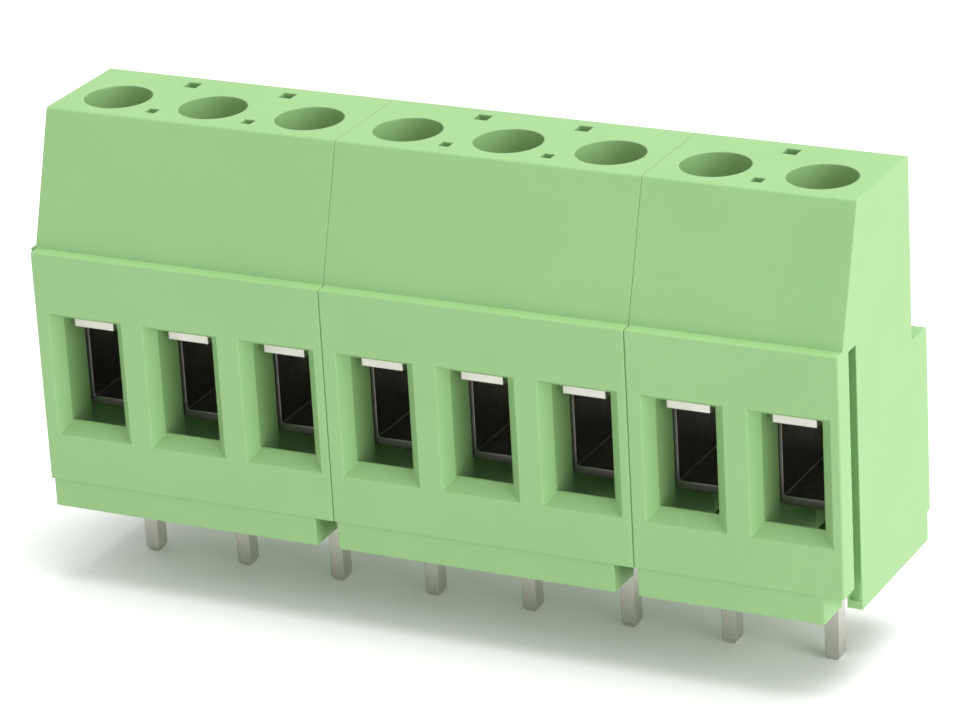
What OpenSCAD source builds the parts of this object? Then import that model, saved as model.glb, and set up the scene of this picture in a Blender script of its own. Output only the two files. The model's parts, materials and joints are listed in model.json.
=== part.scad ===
// Through-hole screw terminal for a circuit board: moulded modules that interlock in a row.
// Each way holds a rising clamp cage, its captive screw and a folded contact with a solder pin.
//
// X runs along the row, -Y is the side the wires enter, and Z = 0 is the face of the board.
// The origin is on the board, in the middle of the row, on the line of the solder pins.

/* [Row] */
// Distance from one way to the next
pitch = 5.08; // [5.00:0.02:5.60]
// Gap left at each joint between two modules
module_gap = 0.02; // [0.02:0.01:0.12]

/* [Housing outline] */
// Height from the board to the top face
body_h = 19.2; // [18.8:0.1:22]
// From the front face back to the line of pins and screws
pin_row = 4.9; // [4.7:0.1:5.5]
// From the line of pins to the rear face of the lower block
rear_depth = 5.5; // [5.3:0.1:7]
// From the line of pins to the rear face of the upper block
upper_rear = 3.7; // [3.1:0.1:3.8]
// Height of the narrow ledge on the front
front_ledge_h = 12.9; // [11.5:0.1:13.5]
// Depth of the narrow ledge on the front
front_ledge_d = 0.55; // [0.2:0.05:0.8]
// How far the top front edge stands back from the front face
top_setback = 2.6; // [1.5:0.1:2.8]
// Height of the rear ledge
rear_ledge_h = 10.4; // [10.2:0.1:13]
// Height of the inset strip at the bottom of the rear face
rear_strip_h = 1.4; // [0.8:0.1:2.5]
// How far that strip is inset
rear_strip_d = 0.32; // [0.1:0.02:0.4]
// Rounding of the long moulded edges
edge_r = 0.15; // [0.05:0.05:0.3]
// Chamfer around each end face of a module
end_chamfer = 0.05; // [0.03:0.01:0.2]

/* [Foot strip] */
// Height of the foot strip under the front face
foot_h = 1.4; // [0.8:0.1:2]
// Depth of the foot strip, front to back
foot_d = 2.1; // [1.9:0.1:2.3]
// How far the foot strip stands back from the front face
foot_setback = 0.08; // [0.04:0.02:0.3]
// Where the foot strip stops short of a module's left end
foot_left = 0.15; // [0.1:0.05:0.6]
// Where the foot strip stops short of a module's right end
foot_right = 1.0; // [0.85:0.05:1.3]

/* [Dovetail] */
// Width of the groove at its mouth
groove_w = 0.85; // [0.7:0.05:1]
// How much wider the groove is at its floor, on each side
groove_flare = 0.2; // [0.1:0.05:0.25]
// Depth of the groove
groove_depth = 0.65; // [0.45:0.05:0.7]
// From the front face to the middle of the groove
groove_y = 1.63; // [1.55:0.01:1.7]
// Height of the groove's closed top
groove_top = 12.7; // [10:0.1:12.8]
// Clearance between tongue and groove on every side
dovetail_clear = 0.05; // [0.03:0.01:0.1]

/* [Wire entry] */
// Width of the wire passage
entry_w = 2.9; // [2.4:0.1:3.2]
// How far the passage reaches above the contact's underside
entry_over = 0.5; // [0.3:0.05:0.7]
// How far the passage reaches below the open cage
entry_under = 0.1; // [0.05:0.05:0.6]
// Depth of the flared mouth
flare_depth = 0.7; // [0.4:0.05:1]
// Thickness of the front wall's straight land behind the flare, over the well
mouth_land = 0.1; // [0.05:0.05:0.5]
// Floor of the well below the passage, above the foot strip
foot_web = 0.6; // [0.4:0.1:1.2]
// Flare on the left side of the mouth
flare_left = 0.4; // [0.3:0.05:0.65]
// Flare on the right side of the mouth
flare_right = 0.65; // [0.3:0.05:0.65]
// Flare above the mouth
flare_top = 0.4; // [0.2:0.05:0.8]
// Flare below the mouth
flare_bottom = 0.54; // [0.1:0.02:0.7]

/* [Tag holes] */
// Side of the square hole for a marking tag, behind the screws
tag_w = 0.7; // [0.5:0.05:1]
// Depth of the rear tag hole
tag_depth = 3.0; // [1:0.1:3.2]
// From the line of screws back to the rear tag hole
tag_y = 2.55; // [2.45:0.05:2.7]
// Side of the smaller square hole in front of the screws
front_tag_w = 0.55; // [0.4:0.05:0.7]
// Depth of the front tag hole
front_tag_depth = 1.2; // [0.5:0.1:1.5]
// From the line of screws forward to the front tag hole
front_tag_y = 1.27; // [1.15:0.01:1.35]

/* [Contact] */
// Thickness of the contact strip
contact_t = 0.8; // [0.6:0.05:0.9]
// Width of the contact strip
contact_w = 2.1; // [1.6:0.1:2.2]
// Height of the contact's upper arm, to its underside
contact_z = 9.0; // [8.5:0.1:9.2]
// Height of the contact's lower arm, to its underside
lower_arm_z = 1.1; // [0.9:0.1:2]
// From the front face to the front end of the upper arm
contact_front = 1.0; // [0.8:0.1:1.6]
// Bend radius inside each fold of the contact
contact_bend = 0.25; // [0.15:0.05:0.4]
// Width of the solder pin
pin_w = 0.7; // [0.6:0.05:1]
// Length of the solder pin below the board's face
pin_length = 4.0; // [3:0.1:5]
// Taper at the tip of the solder pin
pin_taper = 0.12; // [0.1:0.02:0.3]
// Clearance around the contact in the housing
contact_clear = 0.08; // [0.05:0.01:0.12]

/* [Clamp cage] */
// Gap between the screw's thread and each side wall of the cage
cage_side_gap = 0.1; // [0.08:0.02:0.2]
// Depth of the cage, front to back
cage_d = 4.7; // [4.2:0.1:4.8]
// Thickness of the cage's sheet
sheet = 0.4; // [0.35:0.05:0.5]
// Height of the open cage's underside
cage_z = 4.4; // [3.4:0.1:4.6]
// Bend radius inside the cage's folds
cage_bend = 0.1; // [0.1:0.05:0.4]
// Outer diameter of the drawn collar that carries the thread
collar_d = 3.15; // [2.9:0.05:3.3]
// Height of the drawn collar
collar_h = 0.9; // [0.6:0.05:1.2]
// Clearance between the contact and the top of the open cage
cage_clear = 0.2; // [0.1:0.05:0.4]
// Gap left between the cage and the contact when the clamp is closed
closed_gap = 0.2; // [0.1:0.05:0.5]
// Clearance between the cage and its cavity on every side
slide_clear = 0.1; // [0.06:0.01:0.15]

/* [Clamp screw] */
// Diameter over the screw's thread
screw_d = 2.4; // [2:0.1:2.5]
// Diameter of the screw's head
head_d = 3.5; // [3.4:0.02:3.5]
// Height of the screw's head
head_h = 1.6; // [1.2:0.1:1.8]
// Width of the driver slot
slot_w = 0.55; // [0.4:0.05:0.8]
// Depth of the driver slot
slot_depth = 0.85; // [0.5:0.05:1]
// Diameter of the driver hole in the top face
driver_hole_d = 3.25; // [3.0:0.05:3.3]
// Radial running clearance around the screw's thread and its head
screw_clear = 0.05; // [0.03:0.01:0.08]
// Gap above and below the screw, where it turns
screw_gap = 0.08; // [0.05:0.01:0.15]

/* [Rear cores] */
// Wall left around each core in the rear of the housing
core_wall = 0.6; // [0.5:0.05:0.7]
// Width of each core
core_w = 3.3; // [2:0.1:3.6]

/* [Hidden] */

// Ways in each module, from left to right.
module_ways = [3, 3, 2];
ways = 8;
row_left = -ways * pitch / 2;
$fn = 48;
cut = 1;

// Front face and rear faces, measured from the line of pins.
front_y = -pin_row;

// The cage, from its open position to its closed one. The screw passes between its side walls.
cage_inner_w = screw_d + 2 * cage_side_gap;
cage_w = cage_inner_w + 2 * sheet;
cage_inner_h = contact_z + contact_t + cage_clear - cage_z - sheet;
cage_top = cage_z + cage_inner_h + 3 * sheet;
collar_top = cage_top + collar_h;
cage_travel = contact_z - cage_z - sheet - closed_gap;

// The screw stands on the contact's upper arm and its head clears the closed cage.
screw_tip_z = contact_z + contact_t + screw_gap;
head_z = collar_top + cage_travel + screw_gap;

// The cavity, open to the board, and the chamber that traps the screw's head.
cavity_w = cage_w + 2 * slide_clear;
cavity_d = cage_d + 2 * slide_clear;
chamber_d = head_d + 2 * screw_clear;
chamber_top = head_z + head_h + screw_gap;

// Outer edge of the cage cavity's rear slot, where the contact's leg runs.
leg_front = cavity_d / 2 + contact_clear;
leg_rear = leg_front + contact_t;

function way_x(way) = row_left + (way - 0.5) * pitch;
function ways_before(index) = index == 0 ? 0 : module_ways[index - 1] + ways_before(index - 1);

// A polygon with rounded corners. Each point is [x, y, radius].
function unit(v) = v / norm(v);
function corner_arc(before, corner, after, steps) =
    let (
        here = [corner[0], corner[1]],
        u = unit([before[0], before[1]] - here),
        v = unit([after[0], after[1]] - here),
        half = acos(u * v) / 2,
        centre = here + unit(u + v) * corner[2] / sin(half),
        start = here + u * corner[2] / tan(half) - centre,
        finish = here + v * corner[2] / tan(half) - centre,
        sweep = 180 - 2 * half,
        side = start[0] * finish[1] - start[1] * finish[0] > 0 ? 1 : -1
    )
    [for (i = [0:steps])
        let (a = side * sweep * i / steps)
        centre + [start[0] * cos(a) - start[1] * sin(a), start[0] * sin(a) + start[1] * cos(a)]];
function rounded(points, steps = 3) =
    let (count = len(points))
    [for (i = [0:count - 1])
        let (p = points[i])
        for (q = p[2] == 0 ? [[p[0], p[1]]]
            : corner_arc(points[(i + count - 1) % count], p, points[(i + 1) % count], steps))
        q];

// Turns a flat drawing in (Y, Z) into a solid along X, from x to x + length.
module along_x(x, length) {
    translate([x, 0, 0])
        rotate([90, 0, 90])
            linear_extrude(length)
                children();
}

// Turns a flat drawing in (X, Z) into a solid along Y, from y to y + length.
module along_y(y, length) {
    translate([0, y + length, 0])
        rotate([90, 0, 0])
            linear_extrude(length)
                children();
}

module block(low, high) {
    translate(low)
        cube(high - low);
}

// ---- Housing ----

// The section of a module, front at the left. The foot strip steps back at the bottom.
section = [
    [front_y + foot_setback, 0, 0],
    [front_y + foot_setback, foot_h, 0],
    [front_y, foot_h, 0],
    [front_y, front_ledge_h, edge_r],
    [front_y + front_ledge_d, front_ledge_h, 0],
    [front_y + top_setback, body_h, edge_r],
    [upper_rear, body_h, edge_r],
    [upper_rear, rear_ledge_h, 0],
    [rear_depth, rear_ledge_h, edge_r],
    [rear_depth, rear_strip_h, 0],
    [rear_depth - rear_strip_d, rear_strip_h, 0],
    [rear_depth - rear_strip_d, 0, 0]
];

// Edges of the section that are chamfered at a module's ends: from point i to point i + 1.
chamfered_edges = [2, 3, 4, 5, 6, 7, 8];

function cross_z(a, b, c) = (b[0] - a[0]) * (c[1] - b[1]) - (b[1] - a[1]) * (c[0] - b[0]);
function is_convex(i) =
    cross_z(section[i - 1], section[i], section[(i + 1) % len(section)]) < 0;

// A square bar on its edge, run along one edge of the section in the plane of an end face.
module edge_chamfer(x, i) {
    from = [section[i][0], section[i][1]];
    to = [section[i + 1][0], section[i + 1][1]];
    start_over = is_convex(i) ? end_chamfer : 0;
    end_over = is_convex(i + 1) ? end_chamfer : 0;
    length = norm(to - from) + start_over + end_over;
    angle = atan2(to[1] - from[1], to[0] - from[0]);
    side = end_chamfer * sqrt(2);
    translate([x, from[0], from[1]])
        rotate([angle, 0, 0])
            translate([0, -start_over, 0])
                rotate([0, 45, 0])
                    translate([-side / 2, 0, -side / 2])
                        cube([side, length, side]);
}

// The flared mouth: a plan and a side view with slanted walls, cut into each other.
module wire_mouth(x, bottom, top) {
    deep = front_y + flare_depth;
    half = entry_w / 2;
    intersection() {
        translate([x, 0, bottom - cut])
            linear_extrude(top - bottom + 2 * cut)
                polygon([
                    [-half - flare_left, front_y], [-half, deep],
                    [half, deep], [half + flare_right, front_y]
                ]);
        along_x(x - entry_w, 2 * entry_w)
            polygon([
                [front_y, bottom - flare_bottom], [deep, bottom],
                [deep, top], [front_y, top + flare_top]
            ]);
    }
}

// Everything that is hollow in one way of a housing.
module way_hollow(x) {
    cavity_front = -cavity_d / 2;
    arm_top = contact_z + contact_t + contact_clear;
    arm_half = contact_w / 2 + contact_clear;
    bottom = cage_z - entry_under;
    top = contact_z + entry_over;
    core_front = leg_rear + contact_clear + core_wall;

    // wire entry
    wire_mouth(x, bottom, top);
    block([x - entry_w / 2, front_y + flare_depth / 2, bottom],
        [x + entry_w / 2, cavity_front + cut, top]);

    // well behind the front wall, below the passage, open to the cage's cavity
    block([x - entry_w / 2, front_y + flare_depth + mouth_land, foot_h + foot_web],
        [x + entry_w / 2, cavity_front + cut, bottom + cut]);

    // seat for the front end of the contact's upper arm, and the slot for its rear leg
    block([x - arm_half, front_y + contact_front - contact_clear, contact_z - contact_clear],
        [x + arm_half, cavity_front + cut, arm_top]);
    block([x - arm_half, cavity_d / 2 - cut, -cut],
        [x + arm_half, leg_rear + contact_clear, arm_top]);

    // cage cavity, open at the board, and the relief behind the foot strip
    block([x - cavity_w / 2, cavity_front, -cut],
        [x + cavity_w / 2, cavity_d / 2, head_z]);
    block([x - cavity_w / 2, front_y + foot_d, -cut],
        [x + cavity_w / 2, cavity_front + cut, foot_h]);

    // chamber of the screw's head, and the narrower driver hole that keeps the screw in
    translate([x, 0, head_z - cut])
        cylinder(d = chamber_d, h = chamber_top - head_z + cut);
    translate([x, 0, chamber_top - cut])
        cylinder(d = driver_hole_d, h = body_h - chamber_top + 2 * cut);

    // core that keeps the rear wall thin
    block([x - core_w / 2, core_front, -cut],
        [x + core_w / 2, rear_depth - core_wall, rear_ledge_h - core_wall]);
}

// The dovetail's outline, open to -X from its mouth, with all its sides moved out by grow.
module dovetail(depth, grow) {
    half = groove_w / 2 + grow;
    slant = groove_flare / groove_depth;
    polygon([
        [cut, groove_y - half + slant * cut], [cut, groove_y + half - slant * cut],
        [-depth, groove_y + half + slant * depth], [-depth, groove_y - half - slant * depth]
    ]);
}

module housing(index) {
    first = ways_before(index);
    count = module_ways[index];
    left = row_left + first * pitch + module_gap / 2;
    right = row_left + (first + count) * pitch - module_gap / 2;

    color([0.58, 0.74, 0.50])
        union() {
            difference() {
                along_x(left, right - left)
                    polygon(rounded(section));

                for (x = [left, right], i = chamfered_edges)
                    edge_chamfer(x, i);

                for (way = [first + 1:first + count])
                    way_hollow(way_x(way));

                // tag holes, one pair over each wall between two ways
                for (wall = [first + 1:1:first + count - 1]) {
                    x = row_left + wall * pitch;
                    block([x - tag_w / 2, tag_y - tag_w / 2, body_h - tag_depth],
                        [x + tag_w / 2, tag_y + tag_w / 2, body_h + cut]);
                    block([x - front_tag_w / 2, -front_tag_y - front_tag_w / 2,
                            body_h - front_tag_depth],
                        [x + front_tag_w / 2, -front_tag_y + front_tag_w / 2, body_h + cut]);
                }

                // the foot strip stops short of both ends
                block([left - cut, front_y - cut, -cut],
                    [left + foot_left, front_y + foot_d, foot_h]);
                block([right - foot_right, front_y - cut, -cut],
                    [right + cut, front_y + foot_d, foot_h]);

                // dovetail groove, open below
                translate([right, front_y, foot_h - cut])
                    linear_extrude(groove_top - foot_h + cut)
                        dovetail(groove_depth, 0);
            }

            // dovetail tongue, which slides into the groove of the next module
            translate([left, front_y, foot_h + dovetail_clear])
                linear_extrude(groove_top - foot_h - 2 * dovetail_clear)
                    intersection() {
                        dovetail(groove_depth - dovetail_clear, -dovetail_clear);
                        translate([-groove_depth, 0])
                            square([groove_depth + end_chamfer * 2, 2 * groove_y]);
                    }
        }
}

// ---- Contact ----

// The strip's path seen from the side: front arm, rear leg, lower arm and solder pin.
module contact_section() {
    outer = contact_bend + contact_t;
    inner = contact_bend;
    arm_top = contact_z + contact_t;
    low_top = lower_arm_z + contact_t;
    half = contact_t / 2;
    polygon(rounded([
        [front_y + contact_front, contact_z, 0],
        [leg_front, contact_z, inner],
        [leg_front, low_top, inner],
        [-half, low_top, outer],
        [-half, -pin_length, 0],
        [half, -pin_length, 0],
        [half, lower_arm_z, inner],
        [leg_rear, lower_arm_z, outer],
        [leg_rear, arm_top, outer],
        [front_y + contact_front, arm_top, 0]
    ], 5));
}

// Widths of the strip seen from the front: wide above, and a slim pin with a tapered tip.
module contact(way) {
    x = way_x(way);
    neck = contact_t / 2 + contact_bend;
    pin_half = pin_w / 2;
    tip_half = contact_t / 2 - pin_taper;
    color([0.80, 0.80, 0.76])
        union() {
            intersection() {
                along_x(x - contact_w / 2, contact_w)
                    contact_section();
                block([x - contact_w, neck, 0], [x + contact_w, leg_rear + cut, body_h]);
            }
            intersection() {
                along_x(x - contact_w / 2, contact_w)
                    contact_section();
                block([x - contact_w, front_y, contact_z - cut],
                    [x + contact_w, neck + cut, body_h]);
            }
            intersection() {
                along_x(x - pin_half, pin_w)
                    contact_section();
                along_y(-contact_w, neck + contact_w)
                    polygon([
                        [x - pin_half + pin_taper, -pin_length],
                        [x - pin_half, -pin_length + 2 * pin_taper],
                        [x - pin_half, contact_z - cut], [x + pin_half, contact_z - cut],
                        [x + pin_half, -pin_length + 2 * pin_taper],
                        [x + pin_half - pin_taper, -pin_length]
                    ]);
                along_x(x - pin_w, 2 * pin_w)
                    polygon([
                        [-tip_half, -pin_length],
                        [-contact_t / 2, -pin_length + 2 * pin_taper],
                        [-contact_t / 2, contact_z], [neck + cut, contact_z],
                        [neck + cut, -pin_length + 2 * pin_taper],
                        [contact_t / 2, -pin_length + 2 * pin_taper],
                        [tip_half, -pin_length]
                    ]);
            }
        }
}

// ---- Clamp cage ----

// One strip folded round: its two ends lap over each other at the top, under the collar.
module clamp_cage(way) {
    x = way_x(way);
    half = cage_w / 2;
    inner_half = half - sheet;
    low_lap = cage_top - sheet;
    inner_top = low_lap - sheet;
    outer_r = cage_bend + sheet;
    // the upper lap's end stands clear of the lower lap's bend
    lap_clear = 0.05;
    fold_gap = outer_r + lap_clear;
    color([0.62, 0.63, 0.62])
        translate([x, 0, 0])
            difference() {
                union() {
                    along_y(-cage_d / 2, cage_d)
                        difference() {
                            union() {
                                // loop up to the lower lap, then the upper lap over it
                                polygon(rounded([
                                    [-half, cage_z, outer_r], [half, cage_z, outer_r],
                                    [half, low_lap, outer_r], [-half, low_lap, 0]
                                ], 5));
                                polygon(rounded([
                                    [-half, low_lap - sheet, 0], [half - fold_gap, low_lap - sheet, 0],
                                    [half - fold_gap, cage_top, 0], [-half, cage_top, outer_r]
                                ], 5));
                            }
                            polygon(rounded([
                                [-inner_half, cage_z + sheet, cage_bend],
                                [inner_half, cage_z + sheet, cage_bend],
                                [inner_half, inner_top, cage_bend],
                                [-inner_half, inner_top, cage_bend]
                            ], 4));
                        }
                    translate([0, 0, cage_top - sheet / 2])
                        cylinder(d = collar_d, h = collar_h + sheet / 2);
                }
                // threaded hole, drawn plain at the size that clears the screw
                translate([0, 0, inner_top - cut])
                    cylinder(d = screw_d + 2 * screw_clear, h = collar_top - inner_top + 2 * cut);
            }
}

// ---- Clamp screw ----

// A slotted cheese-head screw, with its thread drawn plain, that turns in place.
module clamp_screw(way) {
    x = way_x(way);
    tip_taper = screw_d / 8;
    head_edge = head_h / 8;
    color([0.74, 0.72, 0.62])
        translate([x, 0, 0])
            difference() {
                rotate_extrude()
                    polygon([
                        [0, screw_tip_z], [screw_d / 2 - tip_taper, screw_tip_z],
                        [screw_d / 2, screw_tip_z + tip_taper], [screw_d / 2, head_z],
                        [head_d / 2, head_z], [head_d / 2, head_z + head_h - head_edge],
                        [head_d / 2 - head_edge, head_z + head_h], [0, head_z + head_h]
                    ]);
                block([-head_d, -slot_w / 2, head_z + head_h - slot_depth],
                    [head_d, slot_w / 2, head_z + head_h + cut]);
            }
}

housing(0);  // left_three_way_housing
housing(1);  // middle_three_way_housing
housing(2);  // right_two_way_housing
for (way = [1:ways]) {
    contact(way);
    clamp_cage(way);
    clamp_screw(way);
}
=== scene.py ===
import json
import math
import bpy
from mathutils import Matrix, Vector


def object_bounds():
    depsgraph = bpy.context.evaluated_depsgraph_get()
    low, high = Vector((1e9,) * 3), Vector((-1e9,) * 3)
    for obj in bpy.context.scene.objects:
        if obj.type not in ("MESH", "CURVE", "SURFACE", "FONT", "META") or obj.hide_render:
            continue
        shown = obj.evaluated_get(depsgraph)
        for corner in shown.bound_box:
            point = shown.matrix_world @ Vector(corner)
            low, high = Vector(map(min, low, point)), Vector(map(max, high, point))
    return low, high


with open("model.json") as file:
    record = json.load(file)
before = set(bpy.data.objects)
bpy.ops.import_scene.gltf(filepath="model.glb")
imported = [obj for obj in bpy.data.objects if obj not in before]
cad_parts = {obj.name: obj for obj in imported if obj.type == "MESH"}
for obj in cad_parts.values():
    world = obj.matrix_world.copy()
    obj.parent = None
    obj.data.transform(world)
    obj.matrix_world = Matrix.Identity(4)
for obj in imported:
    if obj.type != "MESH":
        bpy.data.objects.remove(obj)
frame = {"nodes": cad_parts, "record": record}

cad_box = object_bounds()
nodes = frame["nodes"]
record = frame["record"]
MM = 0.001

# ---- Housings ----
# Three moulded blocks of light-green glass-filled polyamide: two for three ways and one for two.
# The mould is spark-eroded, so the skin has a fine even grain with a soft satin sheen, and the
# long edges come out slightly rounded, with a painted highlight that makes them paler than the
# faces.

green = "#8AB276"
green_deep = "#83AC6F"
# Paler green painted along the edges as a highlight.
green_edge_highlight = "#A6CB92"
green_roughness = (0.42, 0.56)
polyamide_ior = 1.53

# Millimetres. The grain of such a mould is finer, and is drawn coarser so that it shows.
flow_size = 5.0
grain_size = 0.16
grain_depth = 0.012
edge_width = 0.09
grain_strength = 0.5
# How far the painted edge highlight pales the edges.
edge_highlight_share = 0.45

# How far a rounded normal may turn from the flat one, as a cosine, where an edge begins and ends.
flat_cosine = 0.995
edge_cosine = 0.85


def linear(code):
    """An sRGB hex colour as the linear RGBA that the shaders take."""
    values = [int(code[i:i + 2], 16) / 255 for i in (1, 3, 5)]
    return [v / 12.92 if v <= 0.04045 else ((v + 0.055) / 1.055) ** 2.4 for v in values] + [1.0]


def add(tree, kind, inputs=None, **settings):
    """Adds a node. Inputs maps a socket to a value, or to the output that is linked to it."""
    node = tree.nodes.new(kind)
    for name, value in settings.items():
        setattr(node, name, value)
    for socket, value in (inputs or {}).items():
        if isinstance(value, bpy.types.NodeSocket):
            tree.links.new(value, node.inputs[socket])
        else:
            node.inputs[socket].default_value = value
    return node


def new_material(name):
    """An empty material, and its tree with no nodes in it."""
    material = bpy.data.materials.new(name)
    material.use_nodes = True
    material.node_tree.nodes.clear()
    return material, material.node_tree


def noise(tree, size, detail=2.0, stretch=(1, 1, 1)):
    """Noise whose grains are size millimetres across, on the object's own coordinates."""
    place = add(tree, "ShaderNodeTexCoord")
    scaled = add(tree, "ShaderNodeMapping",
                 {"Vector": place.outputs["Object"], "Scale": stretch})
    grains = add(tree, "ShaderNodeTexNoise",
                 {"Vector": scaled.outputs[0], "Scale": 1 / (size * MM), "Detail": detail})
    return grains.outputs["Fac"]


def mix_colour(tree, factor, first, second):
    """The colour that lies between first and second by factor."""
    node = add(tree, "ShaderNodeMix", {0: factor, 6: first, 7: second}, data_type="RGBA")
    return node.outputs[2]


def rounded_edges(tree, width):
    """The surface's normal, with its sharp edges rounded over width millimetres."""
    return add(tree, "ShaderNodeBevel", {"Radius": width * MM}, samples=6).outputs[0]


def edge_mask(tree, rounded_normal):
    """1 on an edge, where the rounded normal turns from the flat one, and 0 on a flat face."""
    geometry = add(tree, "ShaderNodeNewGeometry")
    agree = add(tree, "ShaderNodeVectorMath",
                {0: rounded_normal, 1: geometry.outputs["True Normal"]}, operation="DOT_PRODUCT")
    mask = add(tree, "ShaderNodeMapRange",
               {"Value": agree.outputs["Value"], "From Min": flat_cosine, "From Max": edge_cosine})
    return mask.outputs[0]


def moulded_polyamide():
    """Satin green plastic with the grain of a spark-eroded mould, and a painted highlight on its
    edges.
    """
    material, tree = new_material("moulded_polyamide")
    rounded_normal = rounded_edges(tree, edge_width)
    body = mix_colour(tree, noise(tree, flow_size), linear(green), linear(green_deep))
    # Painted highlight: where the rounded normal turns at an edge, the colour is mixed towards the
    # paler green.
    painted_edge_highlight = add(tree, "ShaderNodeMath",
                {0: edge_mask(tree, rounded_normal), 1: edge_highlight_share}, operation="MULTIPLY")
    colour = mix_colour(tree, painted_edge_highlight.outputs[0], body, linear(green_edge_highlight))
    grain = noise(tree, grain_size, detail=3)
    bump = add(tree, "ShaderNodeBump", {
        "Height": grain, "Distance": grain_depth * MM, "Strength": grain_strength,
        "Normal": rounded_normal})
    rough = add(tree, "ShaderNodeMapRange", {
        "Value": grain, "To Min": green_roughness[0], "To Max": green_roughness[1]})
    shader = add(tree, "ShaderNodeBsdfPrincipled", {
        "Base Color": colour, "Roughness": rough.outputs[0], "Normal": bump.outputs[0],
        "IOR": polyamide_ior})
    add(tree, "ShaderNodeOutputMaterial", {"Surface": shader.outputs[0]})
    return material


def finish_nodes(slot, material):
    """Gives the material to each CAD node whose finish is this slot of the record."""
    for part in record["subparts"]:
        if part["material_slot"] == slot:
            for place in nodes[part["node"]].material_slots:
                place.material = material


finish_nodes("housing", moulded_polyamide())

# ---- Contacts ----
# Brass strip, blanked and folded, then dipped in matt tin. The front end shows at the top of each
# wire mouth and the slim solder pin stands below the board's face.

tin = "#C9C8BF"
tin_dull = "#B9B8AE"
tin_roughness = (0.32, 0.46)

# Millimetres. The rolling lines run along the strip, so they are closer together across it.
tin_cloud_size = 0.9
rolling_line_size = 0.5
rolling_line_stretch = (12, 1, 1)
rolling_line_strength = 0.35
tin_edge_width = 0.06

# Millimetres, how deep the fine relief of every plated piece is.
plating_relief = 0.01


def plated_metal(name, bright, dull, cloud_size, roughness, relief, strength, edge):
    """Plating that is duller in clouds, over the relief of the strip or bar below it."""
    material, tree = new_material(name)
    cloud = noise(tree, cloud_size, detail=3)
    relief_size, relief_detail, stretch = relief
    bump = add(tree, "ShaderNodeBump", {
        "Height": noise(tree, relief_size, relief_detail, stretch),
        "Distance": plating_relief * MM, "Strength": strength,
        "Normal": rounded_edges(tree, edge)})
    rough = add(tree, "ShaderNodeMapRange", {
        "Value": cloud, "To Min": roughness[0], "To Max": roughness[1]})
    shader = add(tree, "ShaderNodeBsdfPrincipled", {
        "Base Color": mix_colour(tree, cloud, linear(bright), linear(dull)), "Metallic": 1.0,
        "Roughness": rough.outputs[0], "Normal": bump.outputs[0]})
    add(tree, "ShaderNodeOutputMaterial", {"Surface": shader.outputs[0]})
    return material


finish_nodes("contact", plated_metal(
    "tinned_brass", tin, tin_dull, tin_cloud_size, tin_roughness,
    (rolling_line_size, 4, rolling_line_stretch), rolling_line_strength, tin_edge_width))

# ---- Clamp cages ----
# Steel strip folded round into a box, its ends lapped under the drawn collar, then nickel-plated.
# It is barrel-plated, so the metal is softly bright, with fine even tumbling marks.

nickel = "#A3A29C"
nickel_dull = "#7D7B74"
nickel_roughness = (0.30, 0.44)

# Millimetres.
nickel_cloud_size = 0.6
tumbling_mark_size = 0.12
tumbling_mark_strength = 0.3
nickel_edge_width = 0.05
even = (1, 1, 1)

finish_nodes("cage", plated_metal(
    "nickelled_steel", nickel, nickel_dull, nickel_cloud_size, nickel_roughness,
    (tumbling_mark_size, 3, even), tumbling_mark_strength, nickel_edge_width))

# ---- Clamp screws ----
# Cold-headed steel screws with a sawn slot, zinc-plated and passivated, which gives the metal a
# warm cast. Their rolled thread is drawn plain, as the frame has it.

zinc = "#BDB79E"
zinc_dull = "#A39C84"
zinc_roughness = (0.28, 0.42)

# Millimetres.
zinc_cloud_size = 0.8
zinc_grain_size = 0.15
zinc_grain_strength = 0.3
zinc_edge_width = 0.05

finish_nodes("screw", plated_metal(
    "passivated_zinc", zinc, zinc_dull, zinc_cloud_size, zinc_roughness,
    (zinc_grain_size, 3, even), zinc_grain_strength, zinc_edge_width))

# ---- Studio ----
# A plain white floor under the pins, a large soft lamp above, a second to the right, and a pale
# room. The floor keeps the shadow of the terminal.

paper_white = "#F7F7F7"
floor_z = cad_box[0][2]
floor_half = 0.6
lamp_aim = Vector((0, 0, 0.008))
room_level = 0.75


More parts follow.
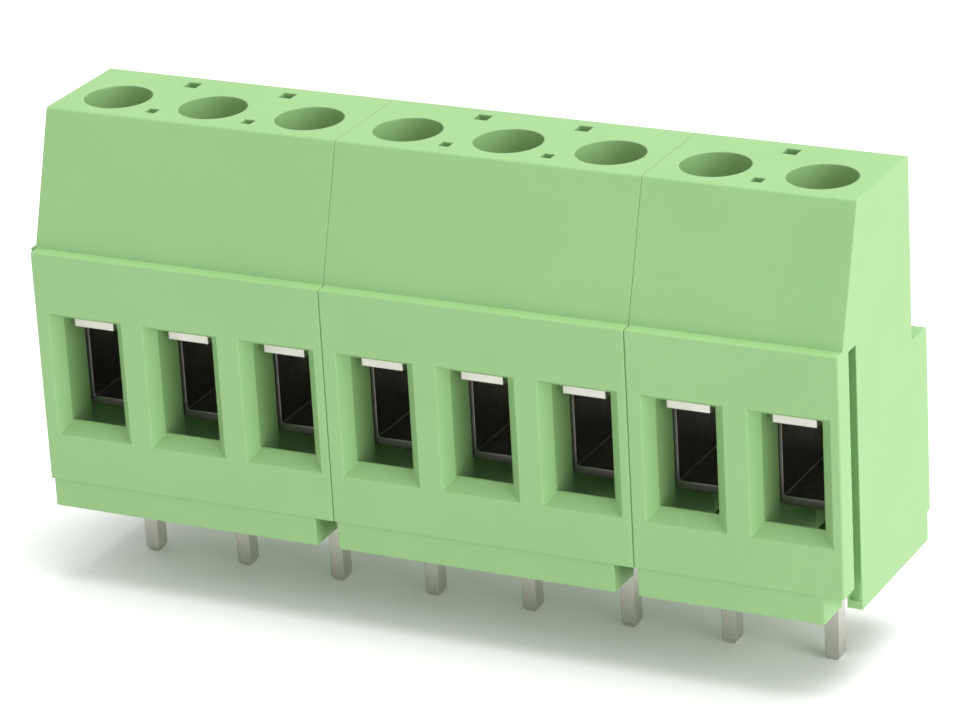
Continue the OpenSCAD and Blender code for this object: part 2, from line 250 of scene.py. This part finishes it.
def studio_floor():
    """A large plain white sheet."""
    mesh = bpy.data.meshes.new("floor")
    corners = [(-1, -1), (1, -1), (1, 1), (-1, 1)]
    mesh.from_pydata([(x * floor_half, y * floor_half, floor_z) for x, y in corners],
                     [], [(0, 1, 2, 3)])
    floor = bpy.data.objects.new("floor", mesh)
    bpy.context.scene.collection.objects.link(floor)
    material, tree = new_material("white_paper")
    paper = add(tree, "ShaderNodeBsdfDiffuse", {"Color": linear(paper_white)})
    add(tree, "ShaderNodeOutputMaterial", {"Surface": paper.outputs[0]})
    mesh.materials.append(material)
    return floor


def soft_lamp(name, place, size, power):
    """A square soft box at place that faces the terminal."""
    light = bpy.data.lights.new(name, "AREA")
    light.shape = "SQUARE"
    light.size = size
    light.energy = power
    lamp = bpy.data.objects.new(name, light)
    bpy.context.scene.collection.objects.link(lamp)
    lamp.location = place
    lamp.rotation_euler = (lamp_aim - Vector(place)).to_track_quat("-Z", "Y").to_euler()


studio_floor()
soft_lamp("overhead_lamp", place=(0.10, 0.05, 0.45), size=0.35, power=2.2)
soft_lamp("side_lamp", place=(0.45, -0.15, 0.15), size=0.30, power=1.2)

world = bpy.data.worlds.new("pale_room")
bpy.context.scene.world = world
world.use_nodes = True
world.node_tree.nodes.clear()
room = add(world.node_tree, "ShaderNodeBackground",
           {"Color": linear("#FFFFFF"), "Strength": room_level})
add(world.node_tree, "ShaderNodeOutputWorld", {"Surface": room.outputs[0]})

# ---- Camera ----
# A long lens from the front right and a little above, rolled slightly.

lens = 175.5
azimuth, elevation, roll = (math.radians(angle) for angle in (27.48, 22.02, -3.31))
distance = 0.21657
target = Vector((-0.00007, 0.00103, 0.00782))
back = Vector((math.sin(azimuth) * math.cos(elevation),
               -math.cos(azimuth) * math.cos(elevation), math.sin(elevation)))
level = Vector((math.cos(azimuth), math.sin(azimuth), 0))
upright = back.cross(level)
right = level * math.cos(roll) + upright * math.sin(roll)
up = upright * math.cos(roll) - level * math.sin(roll)
turned = Matrix((right, up, back)).transposed().to_4x4()
turned.translation = target + back * distance

camera = bpy.data.objects.new("camera", bpy.data.cameras.new("camera"))
bpy.context.scene.collection.objects.link(camera)
camera.data.lens = lens
camera.data.clip_start = 0.01
camera.data.clip_end = 5.0
camera.matrix_world = turned
bpy.context.scene.camera = camera

bpy.context.scene.view_settings.view_transform = "Standard"
